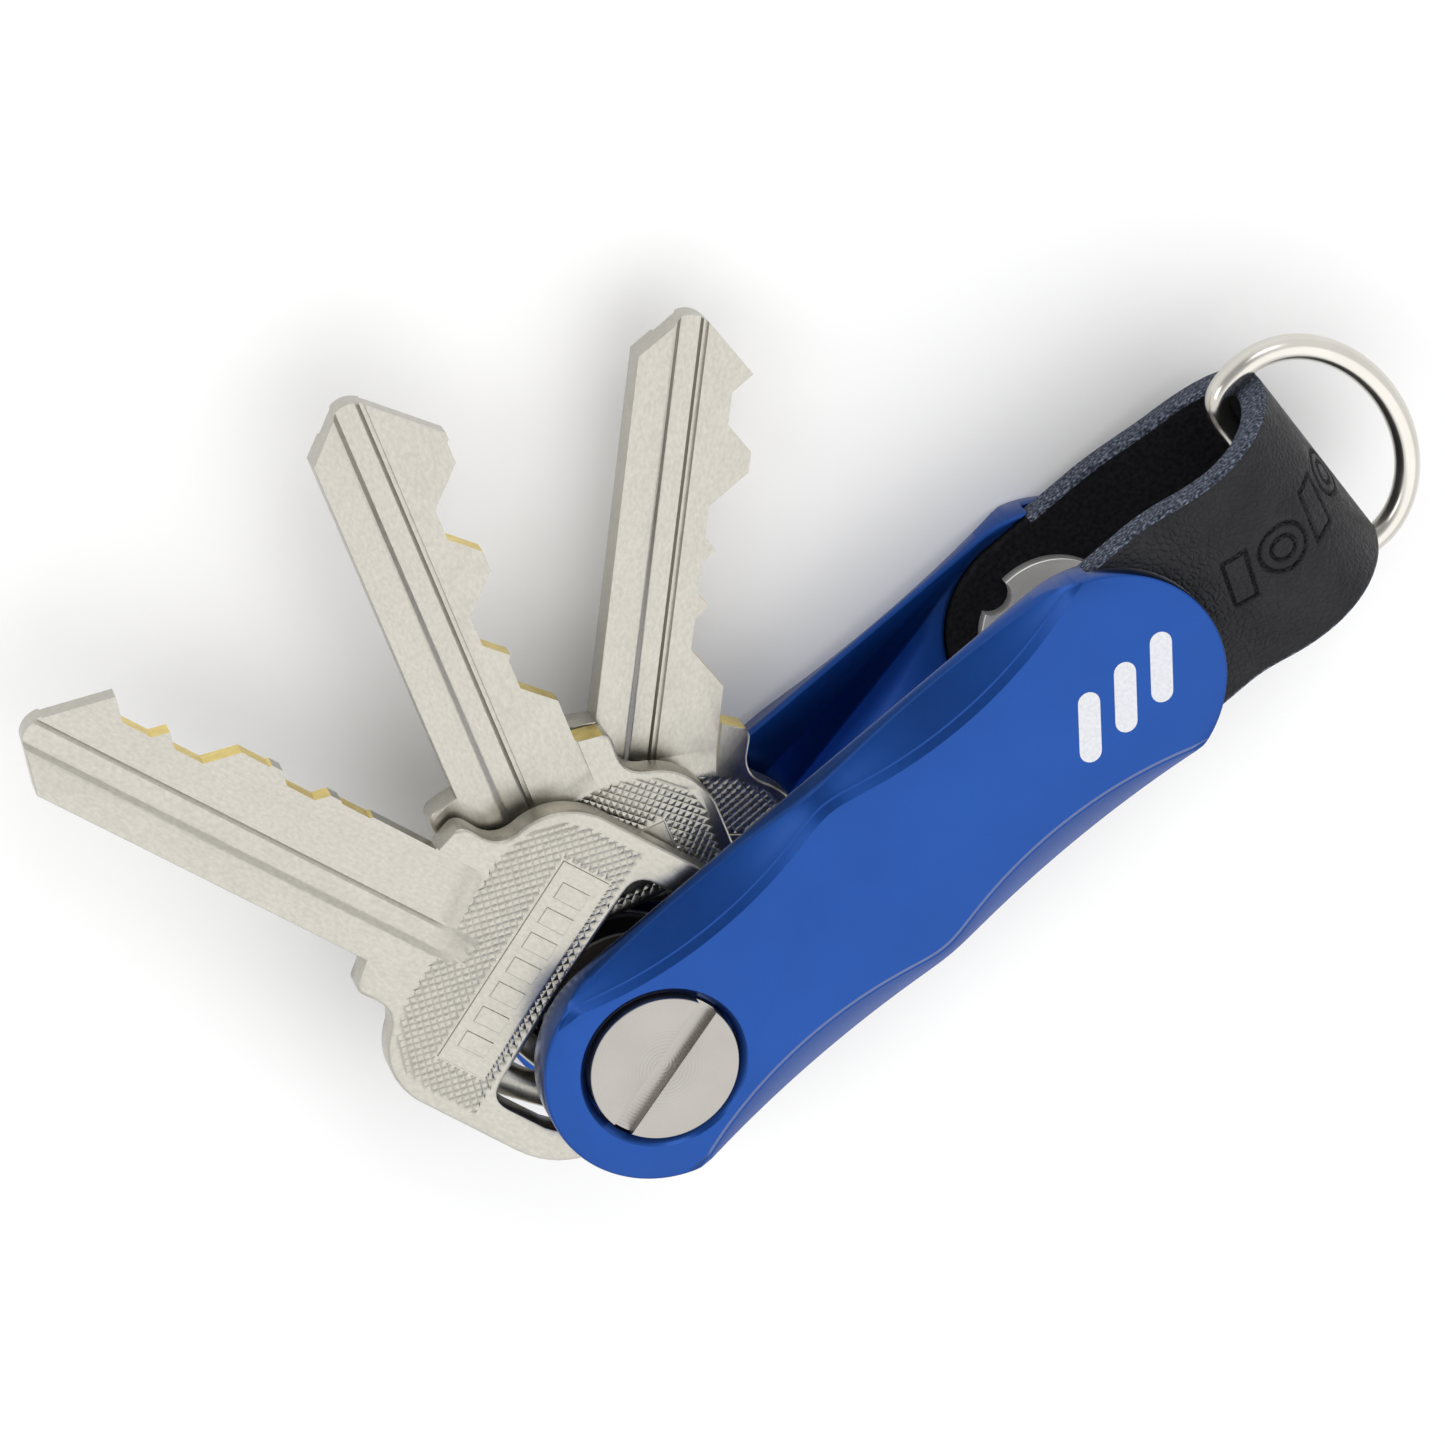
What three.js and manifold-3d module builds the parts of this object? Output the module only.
// Key organiser: two scooped aluminium scales on two posts, three flat keys that fold out on the
// front post between washers, and a leather loop with a D-ring held by the rear post.
// Millimetres, +Z up. The origin is the middle of the bottom scale's outer face, +X points from
// the key post to the strap, and the keys fan out towards +Y.
import * as THREE from 'three';
import { mergeVertices } from 'three/addons/utils/BufferGeometryUtils.js';
import Module from 'manifold-3d';

const wasm = await Module();
wasm.setup();

// Driving dimensions
const POST_SPACING = 37.5;      // between the key post and the rear post
const SCALE_RADIUS = 8;         // round ends of the scales, so the scales are 16 wide
const SCALE_THICK = 2.8;
const BODY_THICK = 15.5;        // over both scales
const EDGE_CHAMFER = 0.25;
const GAP = 0.05;               // between pieces that lie face to face
const RUN_OUT = 1;              // how far a cutter runs past the face that it opens

const SCOOP_RADIUS = 30;        // four scoops in each outer face
const SCOOP_SPREAD = 10;        // scoop centre from the middle of the body, along X
const SCOOP_NEAR = 5.05;        // nearest that a scoop comes to the centre line
const SCOOP_SLOPE = 0.66;       // fall per millimetre outwards
const SCOOP_DEEP = 2.4;

const POST_RADIUS = 2.5;
const POST_CLEARANCE = 0.1;
const HEAD_RADIUS = 4.95;
const HEAD_SEAT_RADIUS = 5.15;
const HEAD_SEAT_DEEP = 1.6;
const HEAD_SEAT_CHAMFER = 0.45;
const HEAD_PROUD = 0.2;         // the slotted head stands this far above the top scale
const HEAD_SUNK = 0.15;         // the post's own head lies this far inside the bottom scale
const SLOT_WIDTH = 1.4;
const SLOT_DEEP = 0.7;
const SLOT_TURN = 17;           // degrees from the body's axis
const SHANK_RADIUS = 1.5;
const SHANK_LENGTH = 8;
const LOCK_WASHER_THICK = 0.3;

const POCKET_DEEP = 1.5;        // recess for each strap tab
const STRAP_WIDTH = 14;
const STRAP_THICK = 1.9;
const STRAP_SIDE_CLEARANCE = 0.15;
const NUT_RADIUS = 5;
const NUT_THICK = 0.9;
const NOTCH_RADIUS = 1.25;
const REAR_SCREW_RADIUS = 3.4;
const REAR_SCREW_DEEP = 0.9;
const REAR_SPIGOT_DEEP = 0.7;

const KEY_THICK = 2.1;
const KEY_PITCH = 2.57;         // key to key along the post
const KEY_1_TOP = 12.03;
const WASHER_RADIUS = 6;
const WASHER_THICK = 0.37;
const NYLON_THICK = 0.55;
const WAVE_HEIGHT = 0.35;
const WAVE_THICK = 0.4;
const WAVES = 3;

// Key blank: u runs from the shoulder to the tip, v towards the cut side
const BLADE_HALF = 4.22;
const BLADE_LENGTH = 27.4;
const FIRST_CUT = 6;
const CUT_PITCH = 3.81;
const CUT_FLAT = 2.14;
const CUT_SHALLOWEST = 0.15;
const CUT_STEP = 0.585;
const BOW_HALF = 11.2;
const BOW_END = -26.3;
const BOW_SLOT_TOP = -12.6;
const BOW_SLOT_END = -23.4;
const BOW_SLOT_HALF = 8.8;
const GROOVE_DEEP = 0.45;
const FLAT_DEEP = 0.35;         // the cut side of the blade is this much lower on both faces

const WIRE_RADIUS = 0.85;
const RING_HALF_WIDTH = 8;
const RING_REACH = 9.25;        // bar axis to the far side of the wire's centre line
const RING_WIDEST = 3.1;        // from the bar to where the ring is widest
const BAR_BEHIND_POST = 17;     // bar axis behind the rear post
const BAR_HEIGHT = 8.2;
const WIRE_JOINT = 0.3;         // the wire's two ends almost meet in the middle of the bar

const FRONT_X = -POST_SPACING / 2;
const REAR_X = POST_SPACING / 2;
const TOP_INNER = BODY_THICK - SCALE_THICK;
const TAB_LOW = SCALE_THICK - POCKET_DEEP;
const TAB_HIGH = TOP_INNER + POCKET_DEEP;

const COLOURS = {
  blue: { color: 0x2450a8, roughness: 0.4, metalness: 0.8 },
  steel: { color: 0xc9c5bd, roughness: 0.35, metalness: 1 },
  nickel: { color: 0xd2ccbe, roughness: 0.35, metalness: 1 },
  spring: { color: 0x8d8f92, roughness: 0.4, metalness: 1 },
  nylon: { color: 0x202226, roughness: 0.6, metalness: 0 },
  leather: { color: 0x28282c, roughness: 0.75, metalness: 0 },
};

const organiser = new THREE.Group();

// Solids and booleans

function solidOf(geometry) {
  const bare = geometry.clone();
  bare.deleteAttribute('normal');
  bare.deleteAttribute('uv');
  const merged = mergeVertices(bare, 1e-4);
  const mesh = new wasm.Mesh({
    numProp: 3,
    vertProperties: new Float32Array(merged.attributes.position.array),
    triVerts: new Uint32Array(merged.index.array),
  });
  mesh.merge();
  return new wasm.Manifold(mesh);
}

function geometryOf(solid) {
  const mesh = solid.getMesh();
  const geometry = new THREE.BufferGeometry();
  geometry.setAttribute('position', new THREE.BufferAttribute(mesh.vertProperties, 3));
  geometry.setIndex(new THREE.BufferAttribute(mesh.triVerts, 1));
  geometry.computeVertexNormals();
  return geometry;
}

function cut(base, cutters) {
  const solid = cutters.reduce((left, cutter) => left.subtract(solidOf(cutter)), solidOf(base));
  return geometryOf(solid);
}

function place(name, geometry, finish, parent = organiser) {
  const mesh = new THREE.Mesh(geometry, new THREE.MeshStandardMaterial(COLOURS[finish]));
  mesh.name = name;
  parent.add(mesh);
  return mesh;
}

// A flat outline raised from z = low to z = high
function raise(shape, low, high, curveSegments = 16) {
  const geometry = new THREE.ExtrudeGeometry(shape, {
    depth: high - low, bevelEnabled: false, curveSegments,
  });
  return geometry.translate(0, 0, low);
}

// A profile of [radius, z] corners, counter-clockwise from the axis, turned about Z at x
function turn(corners, x, segments = 32) {
  const profile = corners.map(([radius, z]) => new THREE.Vector2(radius, z));
  const geometry = new THREE.LatheGeometry(profile, segments);
  return geometry.rotateX(Math.PI / 2).translate(x, 0, 0);
}

function rod(radius, low, high, x, segments = 32) {
  return turn([[0, low], [radius, low], [radius, high], [0, high]], x, segments);
}

function ringShape(outer, inner) {
  const shape = new THREE.Shape().absarc(0, 0, outer, 0, 2 * Math.PI);
  shape.holes.push(new THREE.Path().absarc(0, 0, inner, 0, 2 * Math.PI, true));
  return shape;
}

function flatRing(outer, inner, low, high, x) {
  return raise(ringShape(outer, inner), low, high, 16).translate(x, 0, 0);
}

function screwSlot(x, low) {
  const slot = new THREE.BoxGeometry(4 * HEAD_RADIUS, SLOT_WIDTH, 2 * SLOT_DEEP);
  slot.rotateZ(THREE.MathUtils.degToRad(SLOT_TURN));
  return slot.translate(x, 0, low + SLOT_DEEP);
}

// Scales

function scaleBlank() {
  const radius = SCALE_RADIUS - EDGE_CHAMFER;
  const outline = new THREE.Shape();
  outline.absarc(FRONT_X, 0, radius, Math.PI / 2, 3 * Math.PI / 2);
  outline.absarc(REAR_X, 0, radius, -Math.PI / 2, Math.PI / 2);
  const blank = new THREE.ExtrudeGeometry(outline, {
    depth: SCALE_THICK - 2 * EDGE_CHAMFER,
    bevelThickness: EDGE_CHAMFER,
    bevelSize: EDGE_CHAMFER,
    bevelSegments: 1,
    curveSegments: 20,
  });
  return blank.translate(0, 0, EDGE_CHAMFER);
}

// The outer face is at z = SCALE_THICK while a scale is being cut
function scoops() {
  const over = 0.6;
  const deep = SCOOP_RADIUS - SCOOP_DEEP / SCOOP_SLOPE;
  const high = SCOOP_RADIUS + over / SCOOP_SLOPE;
  const cutters = [];
  for (const alongX of [-1, 1]) {
    for (const side of [-1, 1]) {
      const cone = new THREE.CylinderGeometry(high, deep, SCOOP_DEEP + over, 120);
      cone.rotateX(Math.PI / 2);
      const z = SCALE_THICK + (over - SCOOP_DEEP) / 2;
      cutters.push(cone.translate(alongX * SCOOP_SPREAD, side * (SCOOP_NEAR + SCOOP_RADIUS), z));
    }
  }
  return cutters;
}

// Round seat for a head in the outer face, with a chamfered mouth and a hole through for the post
function headSeat() {
  const hole = POST_RADIUS + POST_CLEARANCE;
  const floor = SCALE_THICK - HEAD_SEAT_DEEP;
  const wide = HEAD_SEAT_RADIUS + HEAD_SEAT_CHAMFER + RUN_OUT;
  return turn([
    [0, -RUN_OUT], [hole, -RUN_OUT], [hole, floor], [HEAD_SEAT_RADIUS, floor],
    [HEAD_SEAT_RADIUS, SCALE_THICK - HEAD_SEAT_CHAMFER], [wide, SCALE_THICK + RUN_OUT],
    [0, SCALE_THICK + RUN_OUT],
  ], FRONT_X, 48);
}

// Recess in the inner face for a strap tab, open at the rear end of the scale
function tabPocket() {
  const half = STRAP_WIDTH / 2 + STRAP_SIDE_CLEARANCE;
  const plan = new THREE.Shape();
  plan.absarc(REAR_X, 0, half, Math.PI / 2, 3 * Math.PI / 2);
  plan.lineTo(REAR_X + 2 * SCALE_RADIUS, -half);
  plan.lineTo(REAR_X + 2 * SCALE_RADIUS, half);
  return raise(plan, -RUN_OUT, POCKET_DEEP);
}

function buildScales() {
  const common = [...scoops(), headSeat(), tabPocket()];

  const spigotHole = rod(SHANK_RADIUS + POST_CLEARANCE, 0, POCKET_DEEP + REAR_SPIGOT_DEEP, REAR_X);
  const top = cut(scaleBlank(), [...common, spigotHole]);
  place('top_scale', top, 'blue').position.z = TOP_INNER;

  const floor = SCALE_THICK - REAR_SCREW_DEEP;
  const narrow = SHANK_RADIUS + POST_CLEARANCE;
  const wide = REAR_SCREW_RADIUS + RUN_OUT + POST_CLEARANCE;
  const countersink = turn([
    [0, 0], [narrow, 0], [narrow, floor - POST_CLEARANCE], [REAR_SCREW_RADIUS, floor],
    [wide, SCALE_THICK + RUN_OUT], [0, SCALE_THICK + RUN_OUT],
  ], REAR_X);
  // Turned over about X, so that its outer face lies at z = 0
  const bottom = cut(scaleBlank(), [...common, countersink]);
  const flipped = place('bottom_scale', bottom, 'blue');
  flipped.rotation.x = Math.PI;
  flipped.position.z = SCALE_THICK;
}

// Key post, from the bottom scale's seat to the top scale's seat

function buildKeyPost() {
  const seatLow = HEAD_SEAT_DEEP;
  const seatHigh = BODY_THICK - HEAD_SEAT_DEEP;
  const bore = SHANK_RADIUS + POST_CLEARANCE;
  const barrelTop = seatHigh - GAP;
  const headHigh = BODY_THICK + HEAD_PROUD;
  const headLow = seatHigh + LOCK_WASHER_THICK + 2 * GAP;
  const shankLow = headLow - SHANK_LENGTH;
  const boreFloor = shankLow - RUN_OUT;

  const post = turn([
    [0, HEAD_SUNK], [HEAD_RADIUS, HEAD_SUNK], [HEAD_RADIUS, seatLow - GAP],
    [POST_RADIUS, seatLow - GAP], [POST_RADIUS, barrelTop], [bore, barrelTop],
    [bore, boreFloor], [0, boreFloor],
  ], FRONT_X, 48);
  place('key_post', cut(post, [screwSlot(FRONT_X, HEAD_SUNK - SLOT_DEEP)]), 'steel');

  const edge = 0.15;
  const screw = turn([
    [0, shankLow], [SHANK_RADIUS, shankLow], [SHANK_RADIUS, headLow], [HEAD_RADIUS, headLow],
    [HEAD_RADIUS, headHigh - edge], [HEAD_RADIUS - edge, headHigh], [0, headHigh],
  ], FRONT_X, 48);
  place('key_screw', cut(screw, [screwSlot(FRONT_X, headHigh - SLOT_DEEP)]), 'steel');

  const washerLow = seatHigh + GAP;
  const washer = flatRing(HEAD_RADIUS - edge, bore, washerLow, washerLow + LOCK_WASHER_THICK, FRONT_X);
  place('lock_washer', washer, 'nylon');
}

// Washers between the scales and the keys

function buildWashers() {
  const hole = POST_RADIUS + POST_CLEARANCE;
  const washer = (name, low, high, finish) => {
    place(name, flatRing(WASHER_RADIUS, hole, low, high, FRONT_X), finish);
  };
  washer('top_nylon_washer', KEY_1_TOP + GAP, KEY_1_TOP + GAP + NYLON_THICK, 'nylon');
  for (const number of [1, 2]) {
    const keyBottom = KEY_1_TOP - KEY_THICK - (number - 1) * KEY_PITCH;
    washer(`spacer_washer_${number}`, keyBottom - GAP - WASHER_THICK, keyBottom - GAP, 'steel');
  }
  const key3Bottom = KEY_1_TOP - KEY_THICK - 2 * KEY_PITCH;
  washer('bottom_nylon_washer', key3Bottom - GAP - NYLON_THICK, key3Bottom - GAP, 'nylon');

  // The spring is a flat ring bent into three waves
  const middle = (SCALE_THICK + key3Bottom - GAP - NYLON_THICK) / 2;
  const wave = flatRing(WASHER_RADIUS, hole + POST_CLEARANCE, -WAVE_THICK / 2, WAVE_THICK / 2, 0);
  const points = wave.attributes.position;
  for (let i = 0; i < points.count; i += 1) {
    const angle = Math.atan2(points.getY(i), points.getX(i));
    points.setZ(i, points.getZ(i) + WAVE_HEIGHT * Math.sin(WAVES * angle));
  }
  place('wave_washer', wave.translate(FRONT_X, 0, middle), 'spring');
}

// Keys

// Half of the bow's outline, from the shoulder to the far end on the cut side
function bowSide() {
  const side = new THREE.Path();
  side.moveTo(0, BLADE_HALF);
  side.lineTo(-0.35, 6);
  side.quadraticCurveTo(-0.6, 6.45, -1.3, 6.4);
  side.lineTo(-2.2, 6.35);
  side.quadraticCurveTo(-3.5, 6.4, -4, 7.6);
  side.quadraticCurveTo(-4.9, 10.6, -8.2, BOW_HALF - 0.1);
  side.lineTo(-16.2, BOW_HALF);
  side.bezierCurveTo(-18.6, BOW_HALF, -20, 10.3, -21.3, 8.9);
  side.bezierCurveTo(-23.8, 6.4, BOW_END, 4, BOW_END, 0);
  return side.getPoints(8);
}

function bowSlot() {
  const half = BOW_SLOT_HALF;
  const slot = new THREE.Path();
  slot.moveTo(BOW_SLOT_TOP, -half + 1.5);
  slot.quadraticCurveTo(BOW_SLOT_TOP, -half, BOW_SLOT_TOP - 1.5, -half);
  slot.lineTo(-17, -half);
  slot.bezierCurveTo(-19.6, -half + 0.3, BOW_SLOT_END, -5.4, BOW_SLOT_END, -2.2);
  slot.lineTo(BOW_SLOT_END, 2.2);
  slot.bezierCurveTo(BOW_SLOT_END, 5.4, -19.6, half - 0.3, -17, half);
  slot.lineTo(BOW_SLOT_TOP - 1.5, half);
  slot.quadraticCurveTo(BOW_SLOT_TOP, half, BOW_SLOT_TOP, half - 1.5);
  return slot;
}

function keyBlank() {
  const side = bowSide();
  const mirrored = side.slice(0, -1).reverse().map((point) => new THREE.Vector2(point.x, -point.y));
  const outline = new THREE.Shape([...side, ...mirrored]);
  outline.lineTo(BLADE_LENGTH - 2.8, -BLADE_HALF);
  outline.lineTo(BLADE_LENGTH - 0.3, -BLADE_HALF + 2.5);
  outline.quadraticCurveTo(BLADE_LENGTH + 0.3, -0.6, BLADE_LENGTH - 0.7, 0.45);
  outline.lineTo(BLADE_LENGTH - 4.47, BLADE_HALF);
  outline.holes.push(bowSlot());
  return raise(outline, 0, KEY_THICK, 8);
}

// A channel milled along the blade between two values of v, in the face at z, from u = start out
// through the tip
function channel(low, high, start, z, deep) {
  const box = new THREE.BoxGeometry(BLADE_LENGTH + 2 * RUN_OUT - start, high - low, 2 * deep);
  return box.translate((BLADE_LENGTH + 2 * RUN_OUT + start) / 2, (low + high) / 2, z);
}

// One cut: a flat root with sides that rise at 45 degrees. Numbered depths as locksmiths do.
function bittingCut(position, depthNumber) {
  const centre = FIRST_CUT + position * CUT_PITCH;
  const root = BLADE_HALF - CUT_SHALLOWEST - (depthNumber - 1) * CUT_STEP;
  const rise = BLADE_HALF - root + RUN_OUT;
  const half = CUT_FLAT / 2;
  const shape = new THREE.Shape();
  shape.moveTo(centre - half, root);
  shape.lineTo(centre + half, root);
  shape.lineTo(centre + half + rise, root + rise);
  shape.lineTo(centre - half - rise, root + rise);
  return raise(shape, -RUN_OUT, KEY_THICK + RUN_OUT);
}

// shoulder: from the post's axis to the shoulder; offset: how far the blade's middle lies to the
// cut side of the post; depths are counted from the shoulder
function buildKey(number, { turned, shoulder, offset, depths }) {
  const cutters = depths.map((depth, position) => bittingCut(position, depth));
  cutters.push(channel(-1.525, 0.225, -5.8, 0, GROOVE_DEEP));
  cutters.push(channel(-3, -1.6, -5.2, KEY_THICK, GROOVE_DEEP));
  for (const z of [0, KEY_THICK]) {
    cutters.push(channel(0.2, BLADE_HALF + 0.1, -2.6, z, FLAT_DEEP));
  }
  const key = cut(keyBlank(), cutters);
  // Turned over about u: the cut side ends up clockwise of the blade, and the wide groove on top
  key.translate(shoulder, offset, -KEY_THICK / 2).rotateX(Math.PI);
  const pivot = new THREE.Group();
  pivot.position.set(FRONT_X, 0, KEY_1_TOP - KEY_THICK / 2 - (number - 1) * KEY_PITCH);
  pivot.rotation.z = THREE.MathUtils.degToRad(turned);
  organiser.add(pivot);
  place(`key_${number}`, key, 'nickel', pivot);
}

function buildKeys() {
  buildKey(1, { turned: 108.6, shoulder: 20.1, offset: 0.8, depths: [1, 2, 1, 4, 4] });
  buildKey(2, { turned: 72.9, shoulder: 20.85, offset: -0.85, depths: [4, 6, 2, 5, 1] });
  buildKey(3, { turned: 45.4, shoulder: 20.45, offset: -0.55, depths: [5, 5, 5, 1, 4] });
}

// Rear post with its screw and the two notched nuts that hold the strap tabs

function notchedNut() {
  const disc = flatRing(NUT_RADIUS, POST_RADIUS + POST_CLEARANCE, 0, NUT_THICK, REAR_X);
  const notches = [110, 230, 350].map((degrees) => {
    const angle = THREE.MathUtils.degToRad(degrees);
    const notch = rod(NOTCH_RADIUS, -RUN_OUT, NUT_THICK + RUN_OUT, 0, 20);
    return notch.translate(REAR_X + NUT_RADIUS * Math.cos(angle), NUT_RADIUS * Math.sin(angle), 0);
  });
  return cut(disc, notches);
}

function buildRearPost() {
  const spigotTop = TAB_HIGH + REAR_SPIGOT_DEEP - GAP;
  const bore = SHANK_RADIUS + POST_CLEARANCE;
  const boreTop = 7;
  const barrel = turn([
    [0, boreTop], [bore, boreTop], [bore, TAB_LOW + GAP], [POST_RADIUS, TAB_LOW + GAP],
    [POST_RADIUS, TAB_HIGH - GAP], [SHANK_RADIUS, TAB_HIGH - GAP], [SHANK_RADIUS, spigotTop],
    [0, spigotTop],
  ], REAR_X);
  place('rear_post', barrel, 'steel');

  const headLow = HEAD_SUNK;
  const screw = turn([
    [0, headLow], [REAR_SCREW_RADIUS - POST_CLEARANCE, headLow],
    [SHANK_RADIUS, REAR_SCREW_DEEP], [SHANK_RADIUS, boreTop - RUN_OUT], [0, boreTop - RUN_OUT],
  ], REAR_X);
  const slotDeep = 0.55;
  const slot = new THREE.BoxGeometry(3 * REAR_SCREW_RADIUS, 1.1, 2 * slotDeep);
  place('rear_screw', cut(screw, [slot.translate(REAR_X, 0, headLow)]), 'steel');

  const lowNut = TAB_LOW + GAP + STRAP_THICK + GAP;
  const highNut = TAB_HIGH - GAP - STRAP_THICK - GAP - NUT_THICK;
  place('bottom_notched_nut', notchedNut(), 'steel').position.z = lowNut;
  place('top_notched_nut', notchedNut(), 'steel').position.z = highNut;
}

// Leather strap: one strip from the top tab round the loop to the bottom tab

function strapLine() {
  const low = TAB_LOW + GAP + STRAP_THICK / 2;
  const high = TAB_HIGH - GAP - STRAP_THICK / 2;
  const at = (behindPost, z) => new THREE.Vector2(REAR_X + behindPost, z);
  const line = new THREE.CurvePath();
  line.add(new THREE.LineCurve(at(-STRAP_WIDTH, high), at(7.2, high)));
  line.add(new THREE.CubicBezierCurve(at(7.2, high), at(10, high), at(10.9, 14.75), at(13.7, 14.75)));
  line.add(new THREE.CubicBezierCurve(at(13.7, 14.75), at(17.1, 14.75), at(19.5, 11.3), at(19.5, 7.8)));
  line.add(new THREE.CubicBezierCurve(at(19.5, 7.8), at(19.5, 4.7), at(16.8, 3.75), at(13.9, 3.4)));
  line.add(new THREE.CubicBezierCurve(at(13.9, 3.4), at(11.4, 3.1), at(9.8, low), at(7.2, low)));
  line.add(new THREE.LineCurve(at(7.2, low), at(-STRAP_WIDTH, low)));
  return line;
}

function buildStrap() {
  const stations = [];
  for (const curve of strapLine().curves) {
    const steps = curve instanceof THREE.LineCurve ? 1 : 9;
    for (let i = 0; i <= steps; i += 1) {
      if (i > 0 || stations.length === 0) {
        stations.push([curve.getPoint(i / steps), curve.getTangent(i / steps)]);
      }
    }
  }
  const side = (sign) => stations.map(([point, tangent]) => new THREE.Vector2(
    point.x - sign * tangent.y * STRAP_THICK / 2,
    point.y + sign * tangent.x * STRAP_THICK / 2,
  ));
  const section = new THREE.Shape([...side(1), ...side(-1).reverse()]);
  const strip = raise(section, -STRAP_WIDTH, STRAP_WIDTH).rotateX(Math.PI / 2);

  const half = STRAP_WIDTH / 2;
  const plan = new THREE.Shape();
  plan.absarc(REAR_X, 0, half, Math.PI / 2, 3 * Math.PI / 2);
  plan.lineTo(REAR_X + 2 * STRAP_WIDTH, -half);
  plan.lineTo(REAR_X + 2 * STRAP_WIDTH, half);
  const trimmed = solidOf(strip).intersect(solidOf(raise(plan, -RUN_OUT, BODY_THICK + RUN_OUT)));
  const hole = rod(POST_RADIUS + POST_CLEARANCE, -RUN_OUT, BODY_THICK + RUN_OUT, REAR_X);
  place('strap', geometryOf(trimmed.subtract(solidOf(hole))), 'leather');
}

// D-ring: round wire, its straight bar inside the strap's loop

function buildRing() {
  const points = [];
  for (const v of [WIRE_JOINT / 2, 2, 4, 6]) points.push(new THREE.Vector3(0, v, 0));
  points.push(new THREE.Vector3(0.25, 7.2, 0), new THREE.Vector3(1.2, 7.75, 0));
  const steps = 9;
  for (let i = 0; i <= steps; i += 1) {
    const angle = (Math.PI / 2) * (1 - i / steps);
    const reach = RING_REACH - RING_WIDEST;
    points.push(new THREE.Vector3(
      RING_WIDEST + reach * Math.cos(angle), RING_HALF_WIDTH * Math.sin(angle), 0));
  }
  const mirrored = points.slice(0, -1).reverse().map((p) => new THREE.Vector3(p.x, -p.y, 0));
  const line = new THREE.CatmullRomCurve3([...points, ...mirrored], false, 'centripetal');
  const section = new THREE.Shape().absarc(0, 0, WIRE_RADIUS, 0, 2 * Math.PI);
  const ring = new THREE.ExtrudeGeometry(section, {
    extrudePath: line, steps: 56, curveSegments: 5, bevelEnabled: false,
  });
  place('d_ring', ring, 'steel').position.set(REAR_X + BAR_BEHIND_POST, 0, BAR_HEIGHT);
}

buildScales();
buildKeyPost();
buildWashers();
buildKeys();
buildRearPost();
buildStrap();
buildRing();

export default organiser;
